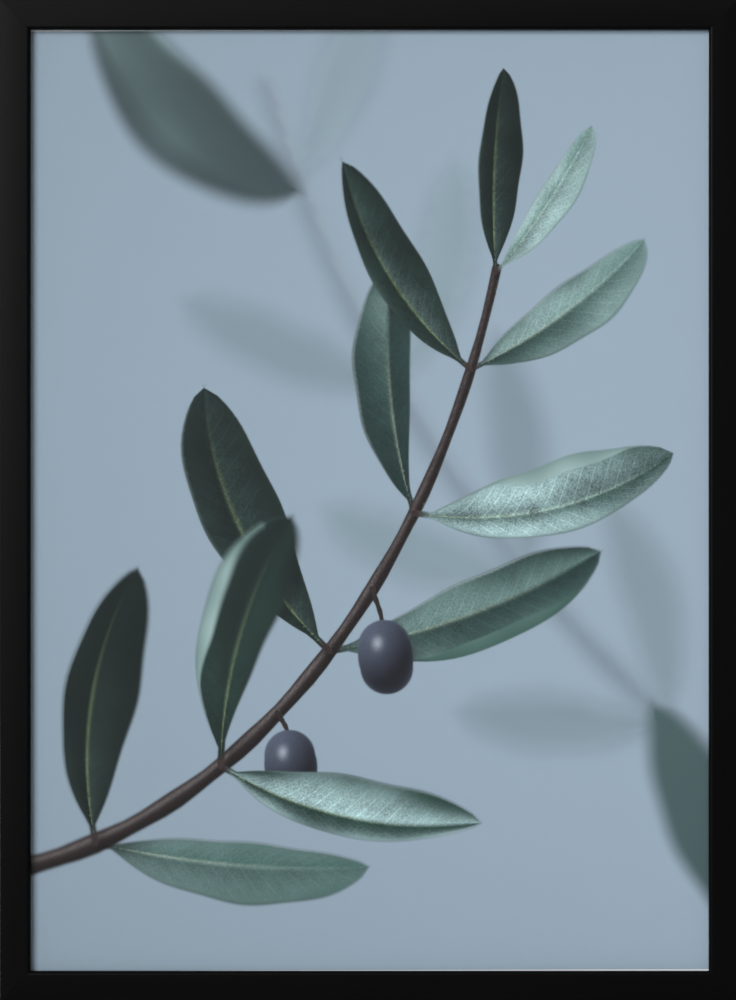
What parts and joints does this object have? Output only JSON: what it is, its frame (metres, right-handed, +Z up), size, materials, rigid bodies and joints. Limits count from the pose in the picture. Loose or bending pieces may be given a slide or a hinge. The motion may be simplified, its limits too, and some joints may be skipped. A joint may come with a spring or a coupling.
{
  "type": "framed wall print",
  "caption": "Portrait wall print behind a clear front sheet in a slim black mitred moulding, backed with hardboard, kept in by bendable points and hung from a toothed hanger.",
  "frame": {"origin": "the hanging point: the crest of the middle notch of the toothed hanger on the top rail, at mid thickness of its strip", "axes": "+Z up along the portrait height, +Y out of the back towards the wall, so the picture faces -Y, and +X to the viewer's right"},
  "size_m": [0.534, 0.0227, 0.724],
  "materials": {
    "black_lacquered_wood": "satin",
    "clear_acrylic": "polished",
    "printed_paper": "satin",
    "hardboard": "matte",
    "bright_steel": "satin",
    "blued_steel": "satin"
  },
  "bodies": {
    "root": {"rail_top": "black_lacquered_wood", "rail_bottom": "black_lacquered_wood", "stile_left": "black_lacquered_wood", "stile_right": "black_lacquered_wood", "glazing_sheet": "clear_acrylic", "print_sheet": "printed_paper", "backing_board": "hardboard", "corner_wedge_rail_top_1": "blued_steel", "corner_wedge_rail_top_2": "blued_steel", "corner_wedge_stile_right_1": "blued_steel", "corner_wedge_stile_right_2": "blued_steel", "corner_wedge_rail_bottom_1": "blued_steel", "corner_wedge_rail_bottom_2": "blued_steel", "corner_wedge_stile_left_1": "blued_steel", "corner_wedge_stile_left_2": "blued_steel", "flex_point_rail_top_1": "bright_steel", "flex_point_rail_top_2": "bright_steel", "flex_point_rail_bottom_1": "bright_steel", "flex_point_rail_bottom_2": "bright_steel", "flex_point_stile_left_1": "bright_steel", "flex_point_stile_left_2": "bright_steel", "flex_point_stile_left_3": "bright_steel", "flex_point_stile_right_1": "bright_steel", "flex_point_stile_right_2": "bright_steel", "flex_point_stile_right_3": "bright_steel", "toothed_hanger_upright": "bright_steel", "toothed_hanger_sideways": "bright_steel", "hanger_nail_upright_1": "bright_steel", "hanger_nail_upright_2": "bright_steel", "hanger_nail_sideways_1": "bright_steel", "hanger_nail_sideways_2": "bright_steel"}
  },
  "joints": []
}
